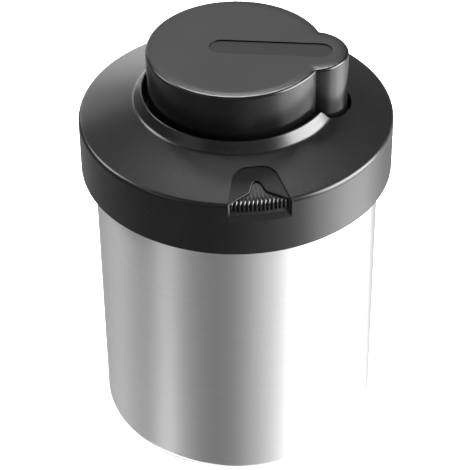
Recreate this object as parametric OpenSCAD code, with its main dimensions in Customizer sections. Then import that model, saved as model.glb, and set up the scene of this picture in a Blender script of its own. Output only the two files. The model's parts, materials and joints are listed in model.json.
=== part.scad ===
// Stainless coffee canister with a lift-off lid. The lid holds a flip-up lever that squeezes
// a silicone seal against the wall, a one-way gas valve and a ring that is turned to a date.
// Millimetres. The origin is the centre of the base, +Z is up and +X points along the lever's tab.

/* [Canister] */
// Outside diameter of the steel body
can_d = 128; // [122:1:132]
// Height of the steel body, from the base to the rim
can_h = 150; // [120:1:200]
// Thickness of the steel
can_wall = 0.8; // [0.6:0.1:1.2]
// Rounding where the wall meets the bottom
can_corner = 2.2; // [1.5:0.1:4]
// How far the rolled rim stands out from the wall
rim_roll = 1.4; // [1:0.1:2]
// Distance of the non-slip pad's edge from the outside of the steel
pad_inset = 7; // [5:0.5:20]
// Thickness of the non-slip pad
pad_t = 1.7; // [1.2:0.1:2.5]
// How far the pad stands out below the steel
pad_proud = 0.5; // [0.3:0.1:1]

/* [Lid shell] */
// How far the lid's skirt stands out from the steel
lid_over = 6; // [5.5:0.1:10]
// Thickness of the skirt
skirt_wall = 1.7; // [1.4:0.1:1.8]
// How far the skirt hangs below the rim
skirt_drop = 16; // [12:1:20]
// Height of the skirt's top edge above the rim
edge_rise = 10.8; // [10.4:0.1:12]
// Rounding of the skirt's top edge
edge_round = 2.3; // [1.5:0.1:3]
// Rise of the sloping deck from its edge to the collar
deck_rise = 7.2; // [6:0.1:8]
// Thickness of the deck, measured upright
deck_t = 1.3; // [1.1:0.1:1.5]
// Radius where the deck meets the collar
collar_foot_r = 46; // [45:0.5:48]
// Height of the collar above the deck
collar_h = 5; // [3:0.1:6]
// Rounding of the collar's crest
crest_round = 0.7; // [0.5:0.1:0.9]
// Hollow where the collar's flank runs out into the deck
flank_round = 3.2; // [2:0.1:4]
// Depth of the shallow field around the date bay
field_depth = 0.6; // [0.3:0.1:0.8]
// Height of the well's floor above the rim
well_rise = 10; // [9.5:0.1:11]
// Thickness of the well's floor
well_floor_t = 2; // [1.6:0.1:2.5]
// Thickness of the well's wall
well_wall = 1.4; // [1.2:0.1:1.4]

/* [Date ring and bay] */
// Direction of the middle of the date bay
bay_angle = -77; // [-100:1:-60]
// Width of the bay's opening in the skirt
bay_w = 26.4; // [22:0.2:32]
// Height of the bay's sill above the rim, at the outside
sill_rise = 1.5; // [1:0.1:3]
// Half width of the window at its rounded inner end
window_half = 2.2; // [1.5:0.1:3]
// Half width of the window where the bay opens out
window_neck = 3.7; // [3:0.1:5]
// Radius of the window's rounded inner end
window_r = 57.5; // [56.5:0.5:59]
// Radius of the inner end of the shallow field around the bay
field_r = 51; // [48:0.5:53]
// Width of the field at its inner end
field_w = 20.4; // [16:0.2:24]
// Number of ribs round the date ring
ring_ribs = 240; // [180:12:240]
// Depth of the ribs
rib_depth = 0.7; // [0.5:0.1:0.8]
// Height of the ribbed band
rib_h = 4.1; // [3:0.1:4.2]
// Thickness of the ring's dial, measured upright
dial_t = 1.8; // [1.5:0.1:2]
// Play of the ring on its hub and under the deck
ring_play = 0.1; // [0.05:0.01:0.2]

/* [Lever] */
// Diameter of the lever's round cap
knob_d = 78.2; // [76:0.2:79]
// Height of the cap's top above the rim
knob_rise = 43.4; // [42:0.1:48]
// Rounding of the cap's top edge
knob_round = 1.4; // [1:0.1:1.6]
// Width of the sloping brow inside the cap's rounded edge
brow_w = 3.5; // [2:0.1:4]
// Fall of the brow
brow_fall = 0.25; // [0.1:0.05:0.4]
// Thickness of the cap's wall
knob_wall = 2; // [1.6:0.1:2.4]
// Distance from the cap's middle to the middle of the thumb tab
tab_reach = 33.3; // [32:0.1:34]
// Radius of the thumb tab
tab_r = 16; // [14:0.5:16]
// Radius of the hollow blends between cap and tab
blend_r = 12; // [10:0.5:16]
// Gap between the cap and the collar
knob_gap = 1.9; // [1.8:0.1:2.4]
// Gap between the tab and its pocket in the deck
tab_gap = 1.8; // [1.5:0.1:3]
// Length of the shallow slot in the top
slot_l = 53.7; // [40:0.1:56]
// Width of the shallow slot
slot_w = 10.8; // [8:0.1:14]
// Depth of the shallow slot
slot_depth = 0.5; // [0.3:0.1:0.8]
// Distance of the slot's middle from the cap's middle, towards the tab
slot_x = 15.4; // [12:0.1:18]
// Distance of the hinge pin behind the cap's middle
hinge_back = 32; // [31:0.1:32.4]
// Height of the hinge pin above the rim
hinge_rise = 29.5; // [28.5:0.1:30.5]
// Diameter of the hinge pin
pin_d = 3; // [2.5:0.1:3.2]
// Radius of the hinge's ears and knuckles
ear_r = 3; // [2.8:0.1:3.2]
// Thickness of each ear and each knuckle
ear_t = 3.3; // [3:0.1:3.5]
// Angle through which the lever opens
lever_open = 75; // [60:1:75]

/* [Seal and plates] */
// Travel of the pressure plate
plate_travel = 2.5; // [1.5:0.1:2.8]
// Thickness of the pressure plate
plate_t = 3; // [2.5:0.1:3.5]
// Thickness of the lower plate
lower_t = 3; // [2.8:0.1:4]
// Height of the squeezed silicone seal
seal_h = 8; // [7:0.1:10]
// Width of the silicone seal, from its inside to its outside
seal_w = 6; // [4:0.1:8]
// Diameter of the plunger's stem
stem_d = 12; // [10:0.1:13]
// Diameter of the return spring's wire
spring_wire = 1.2; // [1:0.1:1.6]
// Number of turns of the return spring
spring_turns = 5; // [4:1:7]

/* [Valve] */
// Distance of the valve from the middle of the lid
valve_r = 32; // [30:0.5:34]
// Outside diameter of the valve's body
valve_d = 18; // [16:0.5:20]
// Thickness of the valve's silicone disc
disc_t = 0.8; // [0.6:0.1:1.2]
// Travel of the valve's disc
disc_lift = 0.8; // [0.4:0.1:1]

/* [Fasteners] */
// Diameter of the screws' shanks
screw_d = 2.6; // [2:0.1:3]
// Diameter of the screws' heads
screw_head_d = 5.4; // [4.8:0.1:6]
// Height of the screws' heads
screw_head_h = 1.6; // [1.2:0.1:1.8]

/* [Hidden] */
$fn = 128;
// Gap that keeps neighbouring moving faces apart
clear = 0.3;
// Running clearance of a shaft in its hole, on the radius
run = 0.05;
// Clearance of a fixed pin or screw in its hole, on the radius
snug = 0.02;
// Overlap that lets a cut reach past a face
cut = 1;

can_r = can_d / 2;
can_in = can_r - can_wall;
rim_z = can_h;
lid_r = can_r + lid_over;
skirt_in = lid_r - skirt_wall;
skirt_z = rim_z - skirt_drop;
edge_z = rim_z + edge_rise;
foot_z = edge_z + deck_rise;
crest_z = foot_z + collar_h;
slope = deck_rise / (lid_r - edge_round - collar_foot_r);
function deck_z(r) = edge_z + slope * (lid_r - edge_round - r);

floor_z = rim_z + well_rise;
under_z = floor_z - well_floor_t;
knob_r = knob_d / 2;
knob_top = rim_z + knob_rise;
brow_z = knob_top - brow_fall;
knob_bottom = floor_z + 3;
pit_r = knob_r + knob_gap;
pocket_r = tab_r + tab_gap;
hub_t = 1.9;
hub_r = tab_reach + pocket_r + 1.5;
hinge_z = rim_z + hinge_rise;

ring_z = rim_z + 5.1;
ring_r = skirt_in - clear;
ring_bore = hub_r + ring_play;
function ring_top(r) = deck_z(r) - deck_t - 2.5 * ring_play;
rib_step = 360 / ring_ribs;

liner_t = 2;
liner_r = skirt_in - ring_play;
plug_r = can_in - 0.4;
plug_wall = 1.8;
plate_z = rim_z - plate_travel - 0.5 - plate_t;
plate_r = plug_r - plug_wall - 0.7;
lower_z = plate_z - seal_h - lower_t;
lower_r = can_in - 1.7;
seal_r = can_in - clear;
stem_r = stem_d / 2;
stem_top = hinge_z - 2;
head_r = stem_r + 3.5;
head_t = 4;
press_z = stem_top + head_t;
roof_z = knob_top - knob_wall;
frame_z = press_z + 4.8;
frame_t = 2.5;
frame_r = knob_r - knob_wall - 0.4;
boss_r = 3.5;
screw_r = screw_d / 2;
screw_head = screw_head_d / 2;
post_ring = 34;
post_r = 4;
shell_screw_ring = 22;
cap_screw_ring = 26;
post_turn = 30;
vent_ring = 28;
vent_r = 1.5;
gas_r = 3;
valve_in = valve_d / 2 - 1.5;
seat_z = lower_z + 1.1;
seat_t = 1.1;

// Points of an arc from angle a to angle b in n steps, without the first or last few where those are given
function arc(x, z, r, a, b, n = 8, skip = 0, drop = 0) =
    [for (i = [skip:n - drop]) let (t = a + (b - a) * i / n) [x + r * cos(t), z + r * sin(t)]];

// A tube standing on z
module tube(outer, inner, z, h) {
    translate([0, 0, z]) difference() {
        cylinder(r = outer, h = h);
        translate([0, 0, -cut]) cylinder(r = inner, h = h + 2 * cut);
    }
}

// Copies of a shape round the axis
module around(count, ring, start = 0) {
    for (i = [0:count - 1]) rotate(start + i * 360 / count) translate([ring, 0, 0]) children();
}

// A pan-head screw with a cross recess, its head's outer face at z = 0 and its shank pointing up
module screw(length) {
    difference() {
        union() {
            cylinder(r = screw_head, h = screw_head_h, $fn = 48);
            cylinder(r = screw_r - snug, h = length, $fn = 48);
        }
        for (a = [0, 90]) rotate(a) translate([-screw_r, -0.35, -cut]) cube([2 * screw_r, 0.7, cut + 1]);
    }
}

// Outline of the lever, grown by one amount round the disc and another round the tab: the disc's arc,
// a hollow blend, the tab's arc and the other blend
module lever_outline(grow_disc, grow_tab) {
    disc = knob_r + grow_disc;
    tab = tab_r + grow_tab;
    hollow = blend_r - grow_tab;
    far = disc + hollow;
    near = tab + hollow;
    x = (far * far - near * near + tab_reach * tab_reach) / (2 * tab_reach);
    y = sqrt(far * far - x * x);
    a = atan2(y, x);
    b = atan2(y, x - tab_reach);
    polygon(concat(
        arc(0, 0, disc, a, 360 - a, 72),
        arc(x, -y, hollow, 180 - a, 180 - b, 9, 1),
        arc(tab_reach, 0, tab, -b, b, 28, 1),
        arc(x, y, hollow, 180 + b, 180 + a, 9, 1, 1)
    ));
}

module canister() {
    bottom = pad_proud;
    recess = bottom + pad_t - pad_proud;
    outer = can_r - can_corner;
    inner = can_corner - can_wall;
    pad_r = can_r - pad_inset;
    roll = (rim_roll + can_wall) / 2;
    color([0.72, 0.72, 0.71]) rotate_extrude() polygon(concat(
        [[0, recess], [pad_r + 0.3, recess], [pad_r + 0.3, bottom], [outer, bottom]],
        arc(outer, bottom + can_corner, can_corner, -90, 0),
        [[can_r, rim_z - 2 * roll]],
        arc(can_r + rim_roll - roll, rim_z - roll, roll, -60, 60),
        arc(can_in + roll * 0.8, rim_z - roll * 0.8, roll * 0.8, 90, 180),
        arc(outer, bottom + can_corner + 0.2, inner, 0, -90),
        [[pad_r + 1.5, bottom + can_wall + 0.2], [pad_r - 1, recess + can_wall], [0, recess + can_wall]]
    ));
}

module base_pad() {
    color([0.12, 0.12, 0.12]) cylinder(r = can_r - pad_inset, h = pad_t);
}

// The lid shell's skin: skirt, rounded edge, sloping deck, raised collar and the ring's hub
module lid_skin() {
    lean = atan(slope);
    knee = lid_r - edge_round;
    steep = 50;
    flank_x = collar_foot_r + flank_round * sin(lean);
    inner = pit_r - 1;
    hub_in = hub_r - hub_t;
    rotate_extrude() polygon(concat(
        [[skirt_in, skirt_z + 0.4], [skirt_in + 0.4, skirt_z], [lid_r - 0.4, skirt_z], [lid_r, skirt_z + 0.4]],
        arc(knee, deck_z(knee) - edge_round / cos(lean), edge_round, 0, 90 - lean),
        arc(flank_x, deck_z(flank_x) + flank_round / cos(lean), flank_round, -90 - lean, -90 - steep, 6),
        arc(pit_r + crest_round, crest_z - crest_round, crest_round, 90 - steep, 180, 9),
        [[inner, crest_z - 1], [inner, crest_z - 4], [pit_r + well_wall, crest_z - 4]],
        [[hub_in, deck_z(hub_in) - deck_t], [hub_in, under_z], [hub_r, under_z]],
        [[hub_r, deck_z(hub_r) - deck_t], [skirt_in, deck_z(skirt_in) - deck_t]]
    ));
}

// The wall and floor of the well that the lever sinks into
module well() {
    top_r = hub_r + 2;
    intersection() {
        translate([0, 0, under_z]) linear_extrude(height = crest_z - under_z) {
            lever_outline(knob_gap + well_wall, tab_gap + well_wall);
        }
        rotate_extrude() polygon([
            [0, under_z - cut], [top_r, under_z - cut], [top_r, deck_z(top_r) - deck_t / 2],
            [collar_foot_r, foot_z - deck_t / 2], [0, foot_z - deck_t / 2]
        ]);
    }
}

// The bay's outline from above: a flared gap in the skirt and a round-ended window in the deck
module bay_outline() {
    wide = bay_w / 2;
    flare = wide + 1.2;
    corner = lid_r - 2.6;
    neck = lid_r - 7.2;
    middle = window_r + window_half;
    polygon(concat(
        [[lid_r + 2, -flare], [corner, -wide], [neck, -window_neck]],
        [for (p = arc(middle, 0, window_half, -110, -250, 14)) p],
        [[neck, window_neck], [corner, wide], [lid_r + 2, flare]]
    ));
}

// The shallow field round the bay, as an outline from above
module field_outline() {
    corner = 7;
    lean = 16;
    middle = field_r + corner;
    side = field_w / 2 - corner;
    far = lid_r + 2;
    spread = side + corner / cos(lean) + (far - middle) * tan(lean);
    polygon(concat(
        [[far, -spread]],
        arc(middle, -side, corner, -90 - lean, -180, 8),
        arc(middle, side, corner, 180, 90 + lean, 8),
        [[far, spread]]
    ));
}

module hinge_ear(root_z) {
    rotate([90, 0, 0]) linear_extrude(height = ear_t, center = true) difference() {
        union() {
            translate([-hinge_back, hinge_z]) circle(r = ear_r);
            translate([-hinge_back - ear_r, root_z]) square([2 * ear_r, hinge_z - root_z]);
        }
        translate([-hinge_back, hinge_z]) circle(r = pin_d / 2 + run, $fn = 64);
    }
}

module bay_cut() {
    sill_z = rim_z + sill_rise;
    rotate(bay_angle) intersection() {
        translate([0, 0, skirt_z]) linear_extrude(height = crest_z - skirt_z) bay_outline();
        rotate_extrude() polygon([
            [hub_r + hub_t, rim_z + 8], [liner_r - 0.9, ring_z - ring_play],
            [lid_r, sill_z], [lid_r + 3, sill_z - 3.7], [lid_r + 3, crest_z], [hub_r + hub_t, crest_z]
        ]);
    }
}

module field_cut() {
    inner = collar_foot_r - 3;
    outer = lid_r + 1;
    rotate(bay_angle) intersection() {
        translate([0, 0, skirt_z]) linear_extrude(height = crest_z) field_outline();
        rotate_extrude() polygon([
            [inner, deck_z(inner) - field_depth], [outer, deck_z(outer) - field_depth],
            [outer, crest_z + cut], [inner, crest_z + cut]
        ]);
    }
}

module lid_shell() {
    color([0.2, 0.2, 0.21]) {
        difference() {
            union() {
                lid_skin();
                well();
                around(4, shell_screw_ring, 45) translate([0, 0, rim_z + 4]) cylinder(r = post_r, h = under_z - rim_z - 3.5);
            }
            translate([0, 0, floor_z]) linear_extrude(height = crest_z - floor_z + cut) lever_outline(knob_gap, tab_gap);
            translate([0, 0, under_z - cut]) cylinder(r = stem_r + 0.4, h = well_floor_t + 2 * cut);
            around(4, shell_screw_ring, 45) translate([0, 0, rim_z + 3]) cylinder(r = screw_r, h = 4, $fn = 48);
            around(8, vent_ring, 180 / 8) translate([0, 0, under_z - cut]) {
                cylinder(r = vent_r, h = well_floor_t + 2 * cut, $fn = 32);
            }
            bay_cut();
            field_cut();
        }
        for (side = [-1, 1]) translate([0, side * (ear_t / 2 + 3.6), 0]) hinge_ear(floor_z - well_floor_t / 2);
    }
}

module date_ring() {
    crest = ring_r;
    root = ring_r - rib_depth;
    color([0.75, 0.75, 0.74]) {
        rotate_extrude() polygon([
            [ring_bore, ring_top(ring_bore) - 4.5], [ring_bore + 2, ring_top(ring_bore) - 4.5],
            [ring_bore + 2, ring_top(ring_bore + 2) - dial_t], [ring_r - 3, ring_top(ring_r - 3) - dial_t],
            [ring_r - 3, ring_z], [root - 0.2, ring_z], [root - 0.2, ring_top(root - 0.2)], [ring_bore, ring_top(ring_bore)]
        ]);
        translate([0, 0, ring_z]) linear_extrude(height = rib_h - 0.1) difference() {
            polygon([for (i = [0:ring_ribs - 1], side = [0:3]) let (
                t = (i + [-0.35, -0.12, 0.12, 0.35][side]) * rib_step,
                r = [root, crest, crest, root][side]
            ) [r * cos(t), r * sin(t)]]);
            circle(r = ring_r - 2);
        }
    }
}

module lid_liner() {
    plug_z = plate_z + plate_travel + clear;
    color([0.85, 0.85, 0.84]) difference() {
        union() {
            rotate_extrude() polygon([
                [0, rim_z], [plug_r - plug_wall, rim_z], [plug_r - plug_wall, plug_z], [plug_r - 0.6, plug_z],
                [plug_r, plug_z + 0.6], [plug_r, rim_z], [liner_r, rim_z], [liner_r, ring_z - ring_play - 1.1],
                [liner_r - 0.9, ring_z - ring_play], [liner_r - 2.8, ring_z - ring_play],
                [liner_r - 2.8, rim_z + liner_t], [0, rim_z + liner_t]
            ]);
            translate([0, 0, rim_z]) cylinder(r = stem_r + 3, h = under_z - rim_z - clear);
            around(3, post_ring, post_turn) translate([0, 0, lower_z + lower_t]) cylinder(r = post_r, h = rim_z - lower_z - lower_t + cut);
            around(4, shell_screw_ring, 45) translate([0, 0, rim_z]) cylinder(r = post_r + 0.5, h = 4);
        }
        translate([0, 0, rim_z - cut]) cylinder(r = stem_r + run, h = under_z - rim_z + cut);
        around(3, post_ring, post_turn) translate([0, 0, lower_z + lower_t - cut]) cylinder(r = screw_r, h = 9, $fn = 48);
        around(4, shell_screw_ring, 45) {
            translate([0, 0, rim_z - cut]) cylinder(r = screw_head + 0.3, h = cut + 2.2, $fn = 48);
            translate([0, 0, rim_z]) cylinder(r = screw_r + 0.3, h = 5, $fn = 48);
        }
        translate([0, valve_r, rim_z - cut]) cylinder(r = gas_r, h = liner_t + 2 * cut, $fn = 48);
    }
}

module lid_screws() {
    color([0.7, 0.7, 0.7]) around(4, shell_screw_ring, 45) translate([0, 0, rim_z + 2.2 - screw_head_h]) screw(screw_head_h + 4);
}

module lower_plate() {
    color([0.85, 0.85, 0.84]) difference() {
        translate([0, 0, lower_z]) rotate_extrude() polygon(concat(
            [[0, 0], [lower_r - 1.5, 0]],
            arc(lower_r - 1.5, 1.5, 1.5, -90, 0),
            [[lower_r, lower_t], [0, lower_t]]
        ));
        around(3, post_ring, post_turn) {
            translate([0, 0, lower_z - cut]) cylinder(r = screw_head + 0.3, h = cut + 1.7, $fn = 48);
            translate([0, 0, lower_z]) cylinder(r = screw_r + 0.3, h = lower_t + cut, $fn = 48);
        }
        translate([0, valve_r, lower_z - cut]) cylinder(r = valve_d / 2 + run, h = lower_t + 2 * cut);
    }
}

module plate_screws() {
    color([0.7, 0.7, 0.7]) around(3, post_ring, post_turn) translate([0, 0, lower_z + 1.7 - screw_head_h]) screw(screw_head_h + 8.4);
}

module seal_ring() {
    inner = seal_r - seal_w;
    bulge = 2.5;
    color([0.8, 0.8, 0.78]) translate([0, 0, lower_z + lower_t]) rotate_extrude() polygon(concat(
        [[inner, 0]],
        arc(seal_r - bulge, bulge, bulge, -90, 0),
        arc(seal_r - bulge, seal_h - bulge, bulge, 0, 90),
        [[inner, seal_h]]
    ));
}

module pressure_plate() {
    color([0.85, 0.85, 0.84]) difference() {
        union() {
            translate([0, 0, plate_z]) cylinder(r = plate_r, h = plate_t);
            translate([0, 0, plate_z]) cylinder(r = stem_r, h = stem_top - plate_z);
        }
        around(3, post_ring, post_turn) translate([0, 0, plate_z - cut]) cylinder(r = post_r + 0.5, h = plate_t + 2 * cut);
        translate([0, valve_r, plate_z - cut]) cylinder(r = gas_r, h = plate_t + 2 * cut, $fn = 48);
        translate([0, 0, stem_top - 8]) cylinder(r = 3 + snug, h = 8 + cut, $fn = 64);
    }
}

module plunger_cap() {
    color([0.85, 0.85, 0.84]) {
        translate([0, 0, stem_top]) rotate_extrude() polygon(concat(
            [[0, 0], [head_r - 0.5, 0], [head_r, 0.5], [head_r, head_t - 1]],
            arc(head_r - 1, head_t - 1, 1, 0, 90),
            [[0, head_t]]
        ));
        translate([0, 0, stem_top - 7.5]) cylinder(r = 3, h = 8, $fn = 64);
    }
}

// A round wire wound into a spring, with its end turns lying flat
module return_spring() {
    wire = spring_wire / 2;
    coil = stem_r + 1.3 + wire;
    low = floor_z + 0.05 + wire;
    high = stem_top - 0.05 - wire;
    steps = 20;
    sides = 8;
    rings = spring_turns * steps;
    function rise(i) = min(1, max(0, (i / steps - 0.8) / (spring_turns - 1.6)));
    points = [for (i = [0:rings], k = [0:sides - 1]) let (
        turn = 360 * i / steps,
        around_wire = 360 * k / sides,
        r = coil + wire * cos(around_wire),
        z = low + (high - low) * rise(i) + wire * sin(around_wire)
    ) [r * cos(turn), r * sin(turn), z]];
    walls = [for (i = [0:rings - 1], k = [0:sides - 1]) let (n = (k + 1) % sides)
        [i * sides + k, i * sides + n, (i + 1) * sides + n, (i + 1) * sides + k]];
    ends = [[for (k = [sides - 1:-1:0]) k], [for (k = [0:sides - 1]) rings * sides + k]];
    color([0.7, 0.7, 0.72]) polyhedron(points, concat(walls, ends));
}

// A disc as tall as the cap, with a rounded top edge and a gently sloping brow inside it
module puck(r) {
    rotate_extrude() polygon(concat(
        [[0, knob_bottom], [r, knob_bottom]],
        arc(r - knob_round, brow_z - knob_round, knob_round, 0, 90),
        [[r - knob_round - 0.6 * brow_w, knob_top - 0.2 * brow_fall], [r - knob_round - brow_w, knob_top], [0, knob_top]]
    ));
}

// The outside of the lever: two rounded discs joined by hollow blends
module lever_body() {
    far = knob_r + blend_r;
    near = tab_r + blend_r;
    x = (far * far - near * near + tab_reach * tab_reach) / (2 * tab_reach);
    y = sqrt(far * far - x * x);
    puck(knob_r);
    translate([tab_reach, 0, 0]) puck(tab_r);
    difference() {
        translate([0, 0, knob_bottom]) linear_extrude(height = knob_top - knob_bottom) {
            polygon([[0, 0], [x, -y], [tab_reach, 0], [x, y]]);
        }
        for (side = [-1, 1]) translate([x, side * y, 0]) rotate_extrude() polygon(concat(
            [[0, knob_bottom - cut], [blend_r, knob_bottom - cut]],
            arc(blend_r + knob_round, brow_z - knob_round, knob_round, 180, 90),
            [
                [blend_r + knob_round + 0.6 * brow_w, knob_top - 0.2 * brow_fall],
                [blend_r + knob_round + brow_w, knob_top], [blend_r + knob_round + brow_w, knob_top + cut],
                [0, knob_top + cut]
            ]
        ));
    }
}

module lever_cap() {
    notch_w = 4 * ear_t + 8.4;
    color([0.35, 0.35, 0.35]) difference() {
        lever_body();
        difference() {
            translate([0, 0, knob_bottom - cut]) linear_extrude(height = roof_z - knob_bottom + cut) {
                lever_outline(-knob_wall, -knob_wall);
            }
            around(4, cap_screw_ring, 45) translate([0, 0, frame_z + frame_t]) cylinder(r = boss_r, h = knob_top - frame_z);
        }
        around(4, cap_screw_ring, 45) translate([0, 0, frame_z]) cylinder(r = screw_r, h = roof_z - frame_z, $fn = 48);
        translate([-knob_r - cut, -notch_w / 2, knob_bottom - cut]) {
            cube([knob_wall + 8, notch_w, hinge_z + ear_r - knob_bottom + cut]);
        }
        translate([slot_x, 0, knob_top - slot_depth]) linear_extrude(height = slot_depth + cut) {
            square([slot_l - slot_w, slot_w], center = true);
            for (side = [-1, 1]) translate([side * (slot_l - slot_w) / 2, 0]) circle(r = slot_w / 2);
        }
    }
}

module lever_base() {
    color([0.16, 0.16, 0.16]) difference() {
        union() {
            translate([0, 0, frame_z]) cylinder(r = frame_r, h = frame_t);
            translate([0, 0, press_z]) cylinder(r = stem_r + 3, h = frame_z - press_z + 0.5);
            for (side = [-1, 1]) translate([0, side * (ear_t * 1.5 + 3.9), 0]) rotate([90, 0, 0]) {
                linear_extrude(height = ear_t, center = true) {
                    translate([-hinge_back, hinge_z]) circle(r = ear_r);
                    translate([-hinge_back - ear_r, hinge_z]) square([2 * ear_r, frame_z - hinge_z + 0.5]);
                }
            }
        }
        rotate([90, 0, 0]) translate([-hinge_back, hinge_z, -20]) cylinder(r = pin_d / 2 + snug, h = 40, $fn = 64);
        around(4, cap_screw_ring, 45) translate([0, 0, frame_z - cut]) {
            cylinder(r = screw_r + 0.3, h = frame_t + 2 * cut, $fn = 48);
        }
    }
}

module lever_screws() {
    color([0.7, 0.7, 0.7]) around(4, cap_screw_ring, 45) translate([0, 0, frame_z - screw_head_h]) {
        screw(roof_z - frame_z + screw_head_h - clear);
    }
}

module hinge_pin() {
    half = ear_t * 2 + 3.9;
    color([0.75, 0.75, 0.75]) translate([-hinge_back, 0, hinge_z]) rotate([90, 0, 0]) {
        cylinder(r = pin_d / 2, h = 2 * half, center = true, $fn = 64);
    }
}

module valve_body() {
    color([0.95, 0.95, 0.94]) translate([0, valve_r, 0]) difference() {
        union() {
            translate([0, 0, lower_z]) cylinder(r = valve_d / 2, h = lower_t + 4);
            translate([0, 0, lower_z - 1.8]) cylinder(r = valve_d / 2 + 2, h = 1.2);
            translate([0, 0, lower_z - 1.2]) cylinder(r = valve_d / 2, h = 2);
        }
        translate([0, 0, lower_z - 1.8 - cut]) cylinder(r = valve_in, h = seat_z - lower_z + 1.8 + cut);
        translate([0, 0, seat_z + seat_t]) cylinder(r = valve_in, h = 12);
        around(6, 3.6) translate([0, 0, seat_z - cut]) cylinder(r = 1.1, h = seat_t + 2 * cut, $fn = 32);
    }
}

module valve_gasket() {
    color([0.2, 0.2, 0.2]) translate([0, valve_r, 0]) tube(valve_d / 2 + 1.8, valve_d / 2 + 0.1, lower_z - 0.6, 0.6);
}

module valve_disc() {
    color([0.9, 0.6, 0.3]) translate([0, valve_r, seat_z + seat_t]) cylinder(r = valve_in - 1.2, h = disc_t);
}

module valve_cap() {
    low = seat_z + seat_t + disc_t + disc_lift + 0.1;
    color([0.95, 0.95, 0.94]) translate([0, valve_r, 0]) difference() {
        translate([0, 0, low]) cylinder(r = valve_in - snug, h = lower_z + lower_t + 4 - low);
        translate([0, 0, low - cut]) cylinder(r = 1.2, h = 10, $fn = 32);
        around(6, 3.9) translate([0, 0, low - cut]) cylinder(r = 1.1, h = 10, $fn = 32);
    }
}

module valve_filter() {
    color([0.9, 0.9, 0.85]) translate([0, valve_r, lower_z - 0.8]) cylinder(r = valve_in - snug, h = seat_z - lower_z + 0.8);
}

canister();
base_pad();
lid_shell();
date_ring();
lid_liner();
lid_screws();
lower_plate();
plate_screws();
seal_ring();
pressure_plate();
plunger_cap();
return_spring();
lever_cap();
lever_base();
lever_screws();
hinge_pin();
valve_body();
valve_gasket();
valve_disc();
valve_cap();
valve_filter();
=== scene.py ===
# %% [markdown]
# # A coffee canister with a lift-off lid
# The object is a brushed steel can under a black moulded lid. The lid has a low collar, a round knob with a
# thumb tab that flips up as a lever, and a small bay in its front edge where a ribbed ring is turned to a
# date. The construction is already there as a frame of finished solids, so this script only gives each
# surface its look, and builds finer meshes where the light shows every facet.
#
# The frame comes first. Blender's lengths are metres, in the frame's own axes: +Z is up and the knob's tab
# points along +X. A length that reads better in millimetres is multiplied by MM where it is used.

# %% The frame
import json
import math
import bmesh
import bpy
from mathutils import Matrix, Vector


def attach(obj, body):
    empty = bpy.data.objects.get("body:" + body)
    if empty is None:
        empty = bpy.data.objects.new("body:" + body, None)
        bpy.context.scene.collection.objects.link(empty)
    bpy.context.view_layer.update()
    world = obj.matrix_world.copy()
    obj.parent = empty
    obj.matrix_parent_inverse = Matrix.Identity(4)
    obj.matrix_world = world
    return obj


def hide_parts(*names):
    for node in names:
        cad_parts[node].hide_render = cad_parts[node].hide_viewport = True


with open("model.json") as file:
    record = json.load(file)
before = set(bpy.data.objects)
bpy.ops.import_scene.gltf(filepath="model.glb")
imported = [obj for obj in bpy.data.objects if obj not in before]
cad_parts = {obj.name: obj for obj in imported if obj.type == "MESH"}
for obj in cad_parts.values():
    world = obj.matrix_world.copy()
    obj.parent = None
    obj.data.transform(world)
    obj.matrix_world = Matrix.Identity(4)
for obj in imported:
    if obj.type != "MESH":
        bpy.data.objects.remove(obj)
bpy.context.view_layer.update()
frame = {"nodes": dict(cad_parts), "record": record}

MM = 0.001

# %% [markdown]
# ## The camera
# The picture was taken with a long lens from above the front edge. A long lens keeps the can's sides almost
# parallel, so the distance and the focal length have to be right together: a near camera with a short lens
# could frame the can as large, but its foot would look much narrower than its lid. Both were measured from
# the ellipses of the lid's edge and of the can's foot. Blender's camera looks along its own -Z, so its matrix
# has the right, up and backward directions as columns.

# %% Camera
EYE = Vector((0.060607, -0.704043, 0.650394))
RIGHT = Vector((0.996715, 0.080559, -0.008335))
UP = Vector((-0.043590, 0.620336, 0.783124))
LENS_MM = 148.08
SENSOR_MM = 36
CAMERA_BEARING = math.degrees(math.atan2(EYE.y, EYE.x))


def placed(name, data):
    """An object at the origin, in the scene. Its place is in its data."""
    made = bpy.data.objects.new(name, data)
    bpy.context.scene.collection.objects.link(made)
    return made


camera = placed("camera", bpy.data.cameras.new("camera"))
camera.data.sensor_width = SENSOR_MM
camera.data.lens = LENS_MM
camera.data.clip_start = 0.05
camera.data.clip_end = 20
camera.matrix_world = Matrix.Translation(EYE) @ Matrix((RIGHT, UP, RIGHT.cross(UP))).transposed().to_4x4()
bpy.context.scene.camera = camera
print("camera bearing", round(CAMERA_BEARING, 1))

# %% [markdown]
# ## Shader maths as Python
# A material made of nodes soon becomes a long list of links. Wrapping an output socket in a small class lets
# an expression such as `0.3 + 0.1 * grain` build its own Math nodes, so the material reads like the formula
# that it is. `node` adds any other kind of node: its settings go in first, because some of them change which
# sockets there are, and then its sockets get values or other wires.

# %% The wire class
def grey(level):
    """A colour from one grey level, or from three."""
    red, green, blue = level if isinstance(level, tuple) else (level, level, level)
    return (red, green, blue, 1.0)


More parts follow.
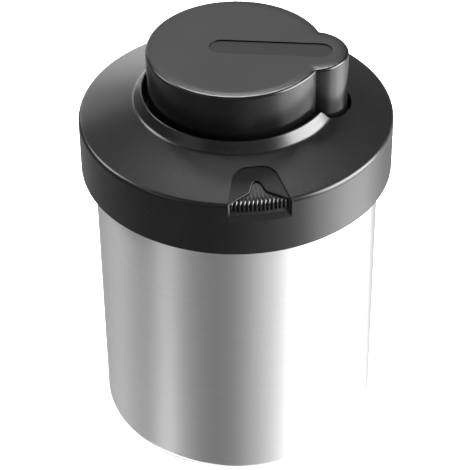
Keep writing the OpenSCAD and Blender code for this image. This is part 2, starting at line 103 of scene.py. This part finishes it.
class Wire:
    """An output socket of a node tree that can be used in expressions."""

    def __init__(self, tree, socket=None):
        self.tree = tree
        self.socket = socket

    def node(self, kind, settings, inputs, out=0):
        """Adds a node with its settings and inputs, and gives one of its outputs."""
        made = self.tree.nodes.new("ShaderNode" + kind)
        for key, value in settings.items():
            if key == "stops":
                self.ramp(made.color_ramp, value)
            elif key == "interpolation":
                made.color_ramp.interpolation = value
            else:
                setattr(made, key, value)
        for key, value in inputs.items():
            if isinstance(value, Wire):
                self.tree.links.new(value.socket, made.inputs[key])
            else:
                made.inputs[key].default_value = value
        return Wire(self.tree, made.outputs[out])

    def ramp(self, ramp, stops):
        """Gives a colour ramp its stops, each a place and a grey level."""
        ramp.elements.remove(ramp.elements[1])
        ramp.elements[0].position = stops[0][0]
        ramp.elements[0].color = grey(stops[0][1])
        for place, level in stops[1:]:
            ramp.elements.new(place).color = grey(level)

    def math(self, operation, a, b=0.0):
        return self.node("Math", {"operation": operation}, {0: a, 1: b})

    def mix(self, factor, a, b):
        return self.node("Mix", {"data_type": "RGBA"}, {0: factor, 6: a, 7: b}, 2)

    def axes(self):
        """The x, y and z of a vector."""
        parts = self.node("SeparateXYZ", {}, {0: self})
        return [Wire(self.tree, socket) for socket in parts.socket.node.outputs]

    def smooth(self, low, high):
        """0 below low, 1 above high, and a soft step between."""
        step = {"interpolation_type": "SMOOTHSTEP"}
        return self.node("MapRange", step, {"Value": self, "From Min": low, "From Max": high})

    def __add__(self, other):
        return self.math("ADD", self, other)

    def __sub__(self, other):
        return self.math("SUBTRACT", self, other)

    def __rsub__(self, other):
        return self.math("SUBTRACT", other, self)

    def __mul__(self, other):
        return self.math("MULTIPLY", self, other)

    def __truediv__(self, other):
        return self.math("DIVIDE", self, other)

    __radd__ = __add__
    __rmul__ = __mul__


# %% [markdown]
# ## The studio
# Black plastic and steel show hardly any colour of their own: what the eye reads as their shape is the room
# that they mirror. Lamps could stand round the object, but each would need a place, a size and a distance.
# The sky needs none of them, so the room is written as a function of direction.
#
# Its lower half is what the upright walls look down into. One ramp gives its level all round the horizon,
# from straight behind the object on the left, past the camera in the middle, to straight behind it on the
# right. The steel's bright right half and its darker bands on the left come from this ramp.

# %% The sky below the horizon
def at(bearing):
    """A bearing from the camera, in degrees and positive to the right, as a place on a ramp."""
    return 0.5 + bearing / 360


LOW_GAIN = 6.0
LOW_SKY = [
    (0.0, 0.06), (at(-150), 0.065), (at(-92), 0.07), (at(-68), 0.052), (at(-44), 0.062), (at(-20), 0.052),
    (at(-8), 0.06), (at(2), 0.085), (at(12), 0.125), (at(24), 0.18), (at(40), 0.25), (at(52), 0.44),
    (at(64), 0.98), (at(90), 1.25), (at(106), 0.88), (at(125), 0.32), (at(140), 0.14), (at(156), 0.08),
    (1.0, 0.06),
]
print("sky with", len(LOW_SKY), "stops round the horizon")

# %% [markdown]
# The upper half is dark grey, with bright panels hung in it. A panel is seen only by the surfaces that face
# it, so each is named after what it lights. A black edge shows only as the thin line of light that it
# mirrors, which is why the panels for edges are small and very bright. Two panels lie straight below: the
# brushed steel spreads what it mirrors up and down, so it alone picks them up.

# %% The panels
HIGH_LEVEL = 0.21
PANELS = {
    # the bearing of the middle, half the width, the foot, the top, the softness of the edges, the level
    "top of the knob": (185, 15, 24, 43, 3, 1.2),
    "front edge of the knob": (180, 20, 49, 57, 2, 60.0),
    "sheen of the deck": (184, 38, 62, 82, 5, 2.0),
    "right edges": (83, 25, 2, 44, 4, 28.0),
    "left edges, front": (-111, 15, 26, 50, 3, 15.0),
    "left edges, rear": (-148, 7, 8, 26, 3, 3.6),
    "left flank": (-162, 11, -20, 2, 4, 2.4),
    "rear left deck": (-168, 12, 2, 18, 4, 2.5),
    "front left flank": (-58, 19, 20, 44, 6, 1.4),
    "front flank": (2, 30, 28, 54, 6, 0.55),
    "foot of the left wall": (-112, 38, -88, -58, 6, 5.0),
    "foot beside it": (-90, 13, -88, -58, 5, 4.0),
}


def panel(w, bearing, height, centre, half, foot, top, soft, glow):
    """One panel's light in every direction: glow inside its edges, and nothing outside."""
    off = w.math("ABSOLUTE", w.math("FRACT", bearing - centre / 360) - 0.5) * 360
    across = 1 - off.smooth(half - soft, half + soft)
    along = height.smooth(foot - soft, foot + soft) * (1 - height.smooth(top - soft, top + soft))
    return across * along * glow


print(len(PANELS), "panels")

# %% [markdown]
# The world adds the two halves and the panels. What the camera sees past the object isn't this room but plain
# white paper, so a ray that comes straight from the camera gets a level of 1 instead.

# %% World
HORIZON = (-8, -2)


def studio_world():
    world = bpy.data.worlds.new("studio")
    world.use_nodes = True
    world.node_tree.nodes.clear()
    w = Wire(world.node_tree)
    direction = w.node("TexCoord", {}, {}, "Generated")
    turn = {"rotation_type": "Z_AXIS"}
    turned = w.node("VectorRotate", turn, {"Vector": direction, "Angle": -math.radians(CAMERA_BEARING)})
    x, y, z = turned.axes()
    bearing = w.math("ARCTAN2", y, x) / (2 * math.pi) + 0.5
    height = w.math("ARCSINE", z) * (180 / math.pi)
    low = w.node("ValToRGB", {"interpolation": "EASE", "stops": LOW_SKY}, {0: bearing}) * LOW_GAIN
    upper = height.smooth(*HORIZON)
    level = low * (1 - upper) + HIGH_LEVEL * upper
    for values in PANELS.values():
        level = level + panel(w, bearing, height, *values)
    seen = w.node("LightPath", {}, {}, "Is Camera Ray")
    sky = w.node("Background", {}, {"Color": grey(1.0), "Strength": level * (1 - seen) + seen})
    out = w.tree.nodes.new("ShaderNodeOutputWorld")
    w.tree.links.new(sky.socket, out.inputs[0])
    bpy.context.scene.world = world
    return len(w.tree.nodes)


print("world of", studio_world(), "nodes")
bpy.context.scene.view_settings.view_transform = "Standard"
bpy.context.scene.view_settings.look = "None"

# %% [markdown]
# ## The floor
# The picture stands on plain white. The floor is one large plane whose own glow lifts it to paper white. It
# is hidden from mirror rays, so that the steel keeps seeing the sky's lower half, and it is clear from below,
# so that the underside can be looked at.

# %% Floor
FLOOR_HALF = 6.0


def paper_white():
    paper = bpy.data.materials.new("paper")
    paper.use_nodes = True
    shader = paper.node_tree.nodes["Principled BSDF"]
    shader.inputs["Base Color"].default_value = grey(0.9)
    shader.inputs["Roughness"].default_value = 0.9
    shader.inputs["Emission Color"].default_value = grey(1.0)
    shader.inputs["Emission Strength"].default_value = 0.35
    w = Wire(paper.node_tree)
    below = w.node("NewGeometry", {}, {}, "Backfacing")
    clear = w.node("BsdfTransparent", {}, {})
    blend = w.node("MixShader", {}, {0: below, 1: Wire(w.tree, shader.outputs[0]), 2: clear})
    w.tree.links.new(blend.socket, w.tree.nodes["Material Output"].inputs[0])
    return paper


def white_floor():
    grid = bmesh.new()
    bmesh.ops.create_grid(grid, x_segments=1, y_segments=1, size=FLOOR_HALF)
    mesh = bpy.data.meshes.new("floor")
    grid.to_mesh(mesh)
    grid.free()
    mesh.materials.append(paper_white())
    floor = placed("floor", mesh)
    floor.visible_glossy = False
    return floor


print("floor:", white_floor().dimensions.x, "m wide")

# %% [markdown]
# ## Finishes
# Each finish is a Principled shader. What is the same all over sits on the shader's own sockets, and only
# colour, roughness and bump vary over the surface, from noise in Object coordinates, in metres. Nothing is
# painted from a picture, so the pattern has the same fineness from any distance.

# %% Material helpers
def finish(name, **sockets):
    """A material with its Principled shader's constants set, and a wire to build its pattern with."""
    material = bpy.data.materials.new(name)
    material.use_nodes = True
    shader = material.node_tree.nodes["Principled BSDF"]
    for key, value in sockets.items():
        shader.inputs[key.replace("_", " ")].default_value = value
    return material, shader, Wire(material.node_tree)


def noise(w, where, scale, detail=2.0, rough=0.5):
    """Soft noise from 0 to 1 whose blotches are about 1 / scale metres across."""
    values = {"Vector": where, "Scale": scale, "Detail": detail, "Roughness": rough}
    return w.node("TexNoise", {}, values, "Fac")


def link(w, wire, socket):
    w.tree.links.new(wire.socket, socket)


def bump(w, height, depth, shader):
    """Tilts the shader's normal by a height from 0 to 1 that stands for depth metres."""
    tilted = w.node("Bump", {}, {"Height": height, "Strength": 1.0, "Distance": depth})
    link(w, tilted, shader.inputs["Normal"])


# %% [markdown]
# ### Brushed steel
# The can's wall was brushed while it turned, so its scratches run round it. Scratches spread a reflection
# across themselves: here up and down, which draws the upright bands that the steel is known by. The scratches
# are far finer than a pixel, so bump alone would have to be very fine to do this. The anisotropy makes the
# spread instead, turned a quarter so that it stands upright, and noise that is drawn out long along the wall
# gives the scratches that the eye can still make out.

# %% Steel
SCRATCHES_PER_M = 2600
STREAKS_PER_M = 380


def brushed_steel():
    material, shader, w = finish(
        "brushed_steel", Metallic=1.0, Anisotropic=0.9, Anisotropic_Rotation=0.25,
    )
    where = w.node("TexCoord", {}, {}, "Object")
    x, y, z = where.axes()
    turn = w.math("ARCTAN2", y, x)
    scratch = w.node("CombineXYZ", {}, {0: turn * 1.6, 1: z * SCRATCHES_PER_M, 2: 0.0})
    fine = noise(w, scratch, 1.0, 3.0, 0.7)
    streak = w.node("CombineXYZ", {}, {0: turn * 0.5 + 7, 1: z * STREAKS_PER_M, 2: 0.0})
    broad = noise(w, streak, 1.0, 2.0, 0.6)
    level = 0.54 + 0.06 * fine + 0.06 * broad
    link(w, w.mix(level, grey(0.0), grey(1.0)), shader.inputs["Base Color"])
    link(w, 0.30 + 0.06 * fine + 0.05 * broad, shader.inputs["Roughness"])
    bump(w, fine, 0.004 * MM, shader)
    return material


STEEL = brushed_steel()
print(STEEL.name, "of", len(STEEL.node_tree.nodes), "nodes")

# %% [markdown]
# ### Moulded plastic
# The lid's deck has the fine matt grain that a spark-eroded mould leaves, and the knob has a smoother one.
# The grain is noise a few tenths of a millimetre across: it tilts the surface a little and roughens it a
# little. Some places are matter than what lies round them. For those a second shader of the same colour is
# mixed in where a mask says so, with less shine and more roughness.

# %% Plastic
MATT_SHINE = 0.45
MATT_ROUGHER = 0.08


def matt_twin(w, tint, rough, shine, grains, depth):
    """A matter shader of the same colour and grain."""
    matt = w.tree.nodes.new("ShaderNodeBsdfPrincipled")
    matt.inputs["Specular IOR Level"].default_value = shine * MATT_SHINE
    link(w, tint, matt.inputs["Base Color"])
    link(w, rough, matt.inputs["Roughness"])
    bump(w, grains, depth, matt)
    return Wire(w.tree, matt.outputs[0])


def moulded_plastic(name, base, rough, grain, depth, spread=0.05, shine=0.5, dull=None):
    """Grained plastic. Where dull's wire is 1 the surface is a matt one of the same colour."""
    material, shader, w = finish(name, IOR=1.5, Specular_IOR_Level=shine)
    where = w.node("TexCoord", {}, {}, "Object")
    grains = noise(w, where, grain, 3.0, 0.6)
    clouds = noise(w, where, 60.0, 3.0, 0.6)
    tint = w.mix(clouds, grey(tuple(part * 0.9 for part in base)), grey(tuple(part * 1.1 for part in base)))
    link(w, tint, shader.inputs["Base Color"])
    link(w, rough - spread / 2 + spread * clouds, shader.inputs["Roughness"])
    bump(w, grains, depth, shader)
    if dull:
        matt = matt_twin(w, tint, rough + MATT_ROUGHER + spread * clouds, shine, grains, depth)
        glossy = Wire(w.tree, shader.outputs[0])
        blend = w.node("MixShader", {}, {0: dull(w, where), 1: glossy, 2: matt})
        link(w, blend, w.tree.nodes["Material Output"].inputs[0])
    return material


# %% [markdown]
# ### Two sunk places
# The floor of the long slot in the knob and the shallow field round the date bay look darker than what lies
# round them. They could be pieces of their own, but then their borders would have to be cut into the mesh.
# Both lie a little below their surroundings, so a mask can find them by height: it is 1 for points that are a
# few tenths of a millimetre below the knob's top, or below the cone of the deck.

# %% Masks of the sunk places
KNOB_TOP = 193.4
SLOT_HALF_WIDTH = 5.5
BAY_BEARING = math.radians(-77)
DECK_EDGE_HEIGHT = 160.8
DECK_EDGE_RADIUS = 67.7
DECK_SLOPE = 0.3318


def slot_floor(w, where):
    _, y, z = where.axes()
    sunk = KNOB_TOP * MM - z
    deep = sunk.smooth(0.3 * MM, 0.45 * MM) * (1 - sunk.smooth(0.55 * MM, 0.6 * MM))
    edge = w.math("ABSOLUTE", y).smooth((SLOT_HALF_WIDTH - 0.1) * MM, (SLOT_HALF_WIDTH + 0.1) * MM)
    return deep * (1 - edge)


def bay_field(w, where):
    turn = {"rotation_type": "Z_AXIS"}
    x, y, z = w.node("VectorRotate", turn, {"Vector": where, "Angle": -BAY_BEARING}).axes()
    radius = w.math("SQRT", x * x + y * y)
    sunk = DECK_EDGE_HEIGHT * MM + DECK_SLOPE * (DECK_EDGE_RADIUS * MM - radius) - z
    there = x.smooth(50.4 * MM, 51 * MM) * (1 - w.math("ABSOLUTE", y).smooth(17 * MM, 18 * MM))
    return sunk.smooth(0.35 * MM, 0.5 * MM) * (1 - sunk.smooth(0.9 * MM, 1.1 * MM)) * there


# %% [markdown]
# ### The plastics and rubbers of this canister
# All of them are the same recipe with other numbers. `rough` is how blurred a reflection is, `grain` how many
# grains fill a metre, `depth` how far a grain stands out, and `shine` how strong the reflection is. A deep
# black needs a base colour of well under one per cent: what makes it look grey is the shine on top.

# %% Plastics and rubbers
LID_BLACK = moulded_plastic(
    "lid_black", (0.0022, 0.0022, 0.0023), rough=0.27, grain=2600, depth=0.008 * MM, spread=0.03, shine=0.32,
    dull=bay_field,
)
KNOB_BLACK = moulded_plastic(
    "knob_black", (0.002, 0.002, 0.0021), rough=0.21, grain=4200, depth=0.004 * MM, shine=0.27,
    dull=slot_floor,
)
RING_BLACK = moulded_plastic(
    "ring_black", (0.003, 0.003, 0.0031), rough=0.24, grain=4000, depth=0.003 * MM, spread=0.04,
)
LINER_BLACK = moulded_plastic(
    "liner_black", (0.004, 0.004, 0.0042), rough=0.34, grain=3000, depth=0.008 * MM, shine=0.36,
)
LINER_GREY = moulded_plastic("liner_grey", (0.055, 0.056, 0.058), rough=0.42, grain=3000, depth=0.008 * MM)
VALVE_WHITE = moulded_plastic("valve_white", (0.7, 0.7, 0.69), rough=0.38, grain=3000, depth=0.005 * MM)
PAD_RUBBER = moulded_plastic(
    "pad_rubber", (0.02, 0.02, 0.02), rough=0.7, grain=1800, depth=0.03 * MM, spread=0.15,
)
SEAL_SILICONE = moulded_plastic(
    "seal_silicone", (0.35, 0.35, 0.34), rough=0.5, grain=2400, depth=0.01 * MM, spread=0.1,
)
FELT = moulded_plastic("filter_felt", (0.62, 0.58, 0.5), rough=0.95, grain=1500, depth=0.1 * MM)
NUMBER_WHITE = moulded_plastic("number_white", (0.6, 0.6, 0.59), rough=0.45, grain=3000, depth=0.003 * MM)
print("finishes:", len(bpy.data.materials))

# %% [markdown]
# ### Small steel parts
# Screws, the spring and the pin are bright drawn or turned wire. Their scratches have no one direction that
# matters at their size, so plain noise varies the roughness.

# %% Small steel
def turned_steel():
    material, shader, w = finish("turned_steel", Metallic=1.0)
    where = w.node("TexCoord", {}, {}, "Object")
    marks = noise(w, where, 1500.0, 3.0, 0.6)
    link(w, w.mix(marks, grey(0.5), grey(0.62)), shader.inputs["Base Color"])
    link(w, 0.22 + 0.12 * marks, shader.inputs["Roughness"])
    bump(w, marks, 0.004 * MM, shader)
    return material


SCREW_STEEL = turned_steel()
print(SCREW_STEEL.name, "of", len(SCREW_STEEL.node_tree.nodes), "nodes")

# %% [markdown]
# ## Smooth shells from the frame's solids
# The solids come as facets whose rounded edges are rows of narrow faces, each with its own sharp border. New
# meshes could be modelled over them, but the shape is right already and only its shading is not. So a copy of
# such a mesh is merged at its seams, every edge that turns by less than a limit is made smooth, and weighted
# normals keep the flat faces flat. The shape stays the solid's own, to the last vertex.

# %% Merged copy of a node's mesh
SHARP_TURN = math.radians(31)
WELD = 0.002 * MM


def merged_copy(node, material, turn):
    mesh = frame["nodes"][node].data.copy()
    solid = bmesh.new()
    solid.from_mesh(mesh)
    bmesh.ops.remove_doubles(solid, verts=solid.verts, dist=WELD)
    bmesh.ops.dissolve_degenerate(solid, edges=solid.edges, dist=WELD)
    for face in solid.faces:
        face.smooth = True
        face.material_index = 0
    for edge in solid.edges:
        edge.smooth = len(edge.link_faces) == 2 and edge.calc_face_angle(math.pi) < turn
    solid.to_mesh(mesh)
    solid.free()
    mesh.materials.clear()
    mesh.materials.append(material)
    return mesh


# %% Smooth shell that stands for a node
def round_edges(piece, width, turn):
    """A narrow bevel on every edge that turns by more than a limit."""
    edges = piece.modifiers.new("edges catch light", "BEVEL")
    edges.width = width
    edges.segments = 2
    edges.limit_method = "ANGLE"
    edges.angle_limit = turn
    edges.miter_outer = "MITER_ARC"


def smooth_copy(node, body, material, turn=SHARP_TURN, bevel=0.0):
    """A smooth-shaded copy of a frame's node, which then stands for it."""
    piece = placed(node + "_shell", merged_copy(node, material, turn))
    if bevel:
        round_edges(piece, bevel, turn)
    normals = piece.modifiers.new("flat faces stay flat", "WEIGHTED_NORMAL")
    normals.keep_sharp = True
    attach(piece, body)
    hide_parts(node)
    print(piece.name, len(piece.data.polygons), "faces")
    return piece


# %% [markdown]
# ## The date ring
# The ring that is turned to a date shows only in the bay, but it is what the eye goes to. Its outline changes
# all the way round: on a rib it reaches out to the crest, between ribs it draws back, and the ribs run on
# over the edge as serrations that fade into the smooth dial. A plain spin can't do that, because it repeats
# one outline. But one rib is like the next. So the outline is drawn at a few angles across a single rib,
# neighbours are bridged into a wall, and the finished rib is spun round as a whole. Small chamfers at both
# ends of the rib catch a dot of light.

# %% Outline of the ring
RING_RIBS = 240
STEPS_PER_RIB = 8
RING_CREST = 68.0
RING_ROOT = 67.1
RING_BORE = 52.7
RING_LOW = 155.1
RING_HIGH = RING_LOW + 4.0
RING_INNER = RING_CREST - 3
DIAL_DEPTH = 1.55


def deck_height(radius):
    """Height of the deck's cone at a radius, both in millimetres."""
    return DECK_EDGE_HEIGHT + DECK_SLOPE * (DECK_EDGE_RADIUS - radius)


def dial_height(radius):
    """Height of the dial, which follows the deck's cone some way below it, in millimetres."""
    return deck_height(radius) - DIAL_DEPTH


def ring_outline(rib):
    """The ring's outline as (radius, height), for a rib that stands out by a share from 0 to 1."""
    out = RING_ROOT + (RING_CREST - RING_ROOT) * rib
    dip = 1 - rib
    outside = [
        (RING_INNER, RING_LOW), (out - 0.3, RING_LOW), (out, RING_LOW + 0.3), (out, RING_HIGH - 0.75),
        (out - 0.5, RING_HIGH - 0.1),
    ]
    serration = [
        (RING_ROOT - 0.5, dial_height(RING_ROOT - 0.5) - 0.3 * dip),
        (RING_ROOT - 2, dial_height(RING_ROOT - 2) - 0.16 * dip),
    ]
    dial = [(RING_ROOT - 3.4, dial_height(RING_ROOT - 3.4)), (RING_BORE, dial_height(RING_BORE))]
    inside = [
        (RING_BORE, dial_height(RING_BORE) - 4.5), (RING_BORE + 2, dial_height(RING_BORE) - 4.5),
        (RING_BORE + 2, dial_height(RING_BORE + 2) - 1.8), (RING_INNER, dial_height(RING_INNER) - 1.8),
    ]
    return outside + serration + dial + inside


print("outline of", len(ring_outline(1.0)), "corners")

# %% [markdown]
# A step is one of the angles at which the outline is drawn. The rib's height follows a cosine across the
# steps, cut off at the top, which leaves a narrow flat crest and a round gap.

# %% One rib
def rib_share(step):
    """How far the ring stands out at a step, from 0 in a gap to 1 on a crest."""
    wave = 0.5 + 0.5 * math.cos(2 * math.pi * step / STEPS_PER_RIB)
    return min(1.0, 1.35 * wave)


def outline_loop(solid, step):
    """The ring's outline at one step, as a closed loop of edges."""
    angle = 2 * math.pi * step / (RING_RIBS * STEPS_PER_RIB)
    corners = [
        solid.verts.new((radius * MM * math.cos(angle), radius * MM * math.sin(angle), height * MM))
        for radius, height in ring_outline(rib_share(step))
    ]
    return [solid.edges.new(pair) for pair in zip(corners, corners[1:] + corners[:1])]


def add_rib(solid):
    last = outline_loop(solid, 0)
    for step in range(1, STEPS_PER_RIB + 1):
        following = outline_loop(solid, step)
        bmesh.ops.bridge_loops(solid, edges=last + following)
        last = following


# %% [markdown]
# A spin with duplicates copies the rib and turns each copy a little further. The last copy ends where the
# first rib starts, so there is one copy fewer than there are ribs. Merging the doubles closes every seam.
#
# The ring is also mirrored. Its shape is the same in a mirror, but each four-sided face is drawn as two
# triangles, and the mirror makes it split along its other diagonal. On the bent faces of the serrations that
# gives the dots of light a fuller form. A mirror turns a shape inside out, so the normals are recalculated
# after it.

# %% The whole ring
def lofted_ring():
    ring = bmesh.new()
    add_rib(ring)
    copies = RING_RIBS - 1
    bmesh.ops.spin(
        ring, geom=ring.verts[:] + ring.edges[:] + ring.faces[:], cent=(0, 0, 0), axis=(0, 0, 1),
        angle=2 * math.pi * copies / RING_RIBS, steps=copies, use_duplicate=True,
    )
    bmesh.ops.scale(ring, vec=(1, -1, 1), verts=ring.verts)
    bmesh.ops.remove_doubles(ring, verts=ring.verts, dist=WELD)
    bmesh.ops.recalc_face_normals(ring, faces=ring.faces)
    for face in ring.faces:
        face.smooth = True
    for edge in ring.edges:
        edge.smooth = edge.calc_face_angle(0.0) < SHARP_TURN
    mesh = bpy.data.meshes.new("date_ring_lofted")
    ring.to_mesh(mesh)
    ring.free()
    mesh.materials.append(RING_BLACK)
    piece = placed("date_ring_lofted", mesh)
    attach(piece, "date_ring")
    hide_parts("date_ring")
    print(piece.name, len(mesh.polygons), "faces")
    return piece


lofted_ring()

# %% [markdown]
# ### The days of the month
# The dial carries plain numbers from 1 to 31, one of which shows in the window when the ring is turned. On a
# real ring they are printed. They could be drawn by the material, but letters made of maths are coarse, so
# each is a text object with hardly any thickness. It is made a mesh, tilted to the dial's cone and set round
# it. At rest the window stands between two of them.

# %% Numbers
DAYS = 31
NUMBER_RADIUS = 60.2
NUMBER_SIZE = 3.6
PRINT_LIFT = 0.03


def day_number(day):
    curve = bpy.data.curves.new("day", "FONT")
    curve.body = str(day)
    curve.size = NUMBER_SIZE * MM
    curve.align_x = "CENTER"
    curve.align_y = "CENTER"
    curve.extrude = 0.04 * MM
    curve.resolution_u = 3
    text = placed("day", curve)
    bpy.context.view_layer.update()
    flat = bpy.data.meshes.new_from_object(text)
    bpy.data.objects.remove(text)
    bpy.data.curves.remove(curve)
    upright = Matrix.Rotation(math.pi / 2, 4, "Z")
    lean = Matrix.Rotation(math.atan(DECK_SLOPE), 4, "Y")
    out = Matrix.Translation((NUMBER_RADIUS * MM, 0, (dial_height(NUMBER_RADIUS) + PRINT_LIFT) * MM))
    spin = Matrix.Rotation(BAY_BEARING + 2 * math.pi * (day - 0.5) / DAYS, 4, "Z")
    flat.transform(spin @ out @ lean @ upright)
    return flat


def dial_numbers():
    parts = bmesh.new()
    for day in range(1, DAYS + 1):
        flat = day_number(day)
        parts.from_mesh(flat)
        bpy.data.meshes.remove(flat)
    mesh = bpy.data.meshes.new("dial_numbers")
    parts.to_mesh(mesh)
    parts.free()
    mesh.materials.append(NUMBER_WHITE)
    piece = placed("dial_numbers", mesh)
    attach(piece, "date_ring")
    print(piece.name, len(mesh.polygons), "faces")
    return piece


dial_numbers()

# %% [markdown]
# ## The bay's rim
# The edge of the bay is rounded, and its left side draws the brightest line of the whole lid. A bevel on the
# shell would have to cross the many thin facets of the skirt, which it can't do cleanly. So a thin round bead
# follows the edge instead: up the skirt from the sill, in along the flare, round the window's end and out
# again. The path is written for a bay along +X, in millimetres, and the mesh is turned to the bay afterwards.

# %% Path of the rim
FIELD_DEPTH = 0.6
WINDOW_CENTRE = 59.7
WINDOW_ROUND = 2.2
WINDOW_STEPS = 14


def field_height(radius):
    """Height of the shallow field round the bay at a radius, in millimetres."""
    return deck_height(radius) - FIELD_DEPTH


def rim_path():
    """The bay's edge, from the sill on one side to the sill on the other."""
    side = [
        (68.68, -13.53, 151.7), (68.68, -13.53, 158.3), (68.36, -13.45, 159.5),
        (67.4, -13.2, field_height(68.68)), (62.8, -3.7, field_height(62.9)),
    ]
    end = []
    for step in range(WINDOW_STEPS + 1):
        angle = math.radians(-110 - 140 * step / WINDOW_STEPS)
        x = WINDOW_CENTRE + WINDOW_ROUND * math.cos(angle)
        y = WINDOW_ROUND * math.sin(angle)
        end.append((x, y, field_height(math.hypot(x, y))))
    mirrored = [(x, -y, z) for x, y, z in reversed(side)]
    return [Vector(point) for point in side + end + mirrored]


# %% [markdown]
# A bead right on the edge would stand out as a wire. Its middle is moved away from the opening and down, or
# on the skirt inwards, until only a rounded edge shows and nothing stands outside the skirt.

# %% Bead along the rim
RIM_RADIUS = 0.42
RIM_SUNK = 0.27
SKIRT_SUNK = 0.54
SKIRT_TOP = 159


def sunk_in(path):
    """The path, moved into the plastic at every point."""
    moved = []
    for k, point in enumerate(path):
        along = path[min(k + 1, len(path) - 1)] - path[max(k - 1, 0)]
        away = Vector((-along.y, along.x, 0))
        if away.length < 0.3:
            away = Vector((0, math.copysign(1, point.y), 0))
        deeper = Vector((-SKIRT_SUNK, 0, 0)) if point.z < SKIRT_TOP else Vector((0, 0, -RIM_SUNK))
        moved.append(point + away.normalized() * RIM_SUNK + deeper)
    return moved


def bead(path):
    """A round tube along a path in millimetres, as a mesh in metres."""
    curve = bpy.data.curves.new("bay_rim", "CURVE")
    curve.dimensions = "3D"
    curve.bevel_depth = RIM_RADIUS * MM
    curve.bevel_resolution = 3
    spline = curve.splines.new("POLY")
    spline.points.add(len(path) - 1)
    for place, point in zip(spline.points, path):
        place.co = (*(point * MM), 1)
    maker = placed("bay_rim_curve", curve)
    bpy.context.view_layer.update()
    mesh = bpy.data.meshes.new_from_object(maker)
    bpy.data.objects.remove(maker)
    bpy.data.curves.remove(curve)
    return mesh


# %% Rim of the bay
def bay_rim():
    mesh = bead(sunk_in(rim_path()))
    mesh.transform(Matrix.Rotation(BAY_BEARING, 4, "Z"))
    for face in mesh.polygons:
        face.use_smooth = True
    mesh.materials.clear()
    mesh.materials.append(LID_BLACK)
    piece = placed("bay_rim", mesh)
    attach(piece, "lid")
    print(piece.name, len(mesh.polygons), "faces")
    return piece


bay_rim()

# %% [markdown]
# ## Looks for every node
# Each solid of the frame now gets its finish; the table also lists the slot of the record that the finish
# belongs to. The knob also gets a narrow bevel on its sharp edges, because a moulded edge is never
# knife-sharp and a real one always shows a thin line of light. The limit from which an edge stays sharp is
# lower on the lid's shell than on the others, which keeps its shallower edges crisp.

# %% Finish of each node
FINISH_OF = {
    "canister": (STEEL, "brushed_steel_body"),
    "lid_shell": (LID_BLACK, "lid_plastic"),
    "lever_cap": (KNOB_BLACK, "lever_plastic"),
    "lid_liner": (LINER_BLACK, "liner_plastic"),
    "lower_plate": (LINER_GREY, "liner_plastic"),
    "pressure_plate": (LINER_GREY, "liner_plastic"),
    "plunger_cap": (LINER_GREY, "liner_plastic"),
    "seal_ring": (SEAL_SILICONE, "seal_silicone"),
    "lever_base": (KNOB_BLACK, "lever_plastic"),
    "base_pad": (PAD_RUBBER, "pad_rubber"),
    "valve_body": (VALVE_WHITE, "valve_plastic"),
    "valve_cap": (VALVE_WHITE, "valve_plastic"),
    "valve_gasket": (PAD_RUBBER, "valve_silicone"),
    "valve_disc": (SEAL_SILICONE, "valve_silicone"),
    "valve_filter": (FELT, "filter_felt"),
    "lid_screws": (SCREW_STEEL, "screw_steel"),
    "plate_screws": (SCREW_STEEL, "screw_steel"),
    "lever_screws": (SCREW_STEEL, "screw_steel"),
    "hinge_pin": (SCREW_STEEL, "screw_steel"),
    "return_spring": (SCREW_STEEL, "spring_steel"),
}
print(len(FINISH_OF), "nodes get a shell")

# %% Shells
BODY_OF = {node: body for body, nodes in frame["record"]["behaviour"]["bodies"].items() for node in nodes}
BEVEL_OF = {"lever_cap": 0.2 * MM}
TURN_OF = {"lid_shell": math.radians(24)}
for node, (material, slot) in FINISH_OF.items():
    smooth_copy(node, BODY_OF[node], material, TURN_OF.get(node, SHARP_TURN), BEVEL_OF.get(node, 0.0))
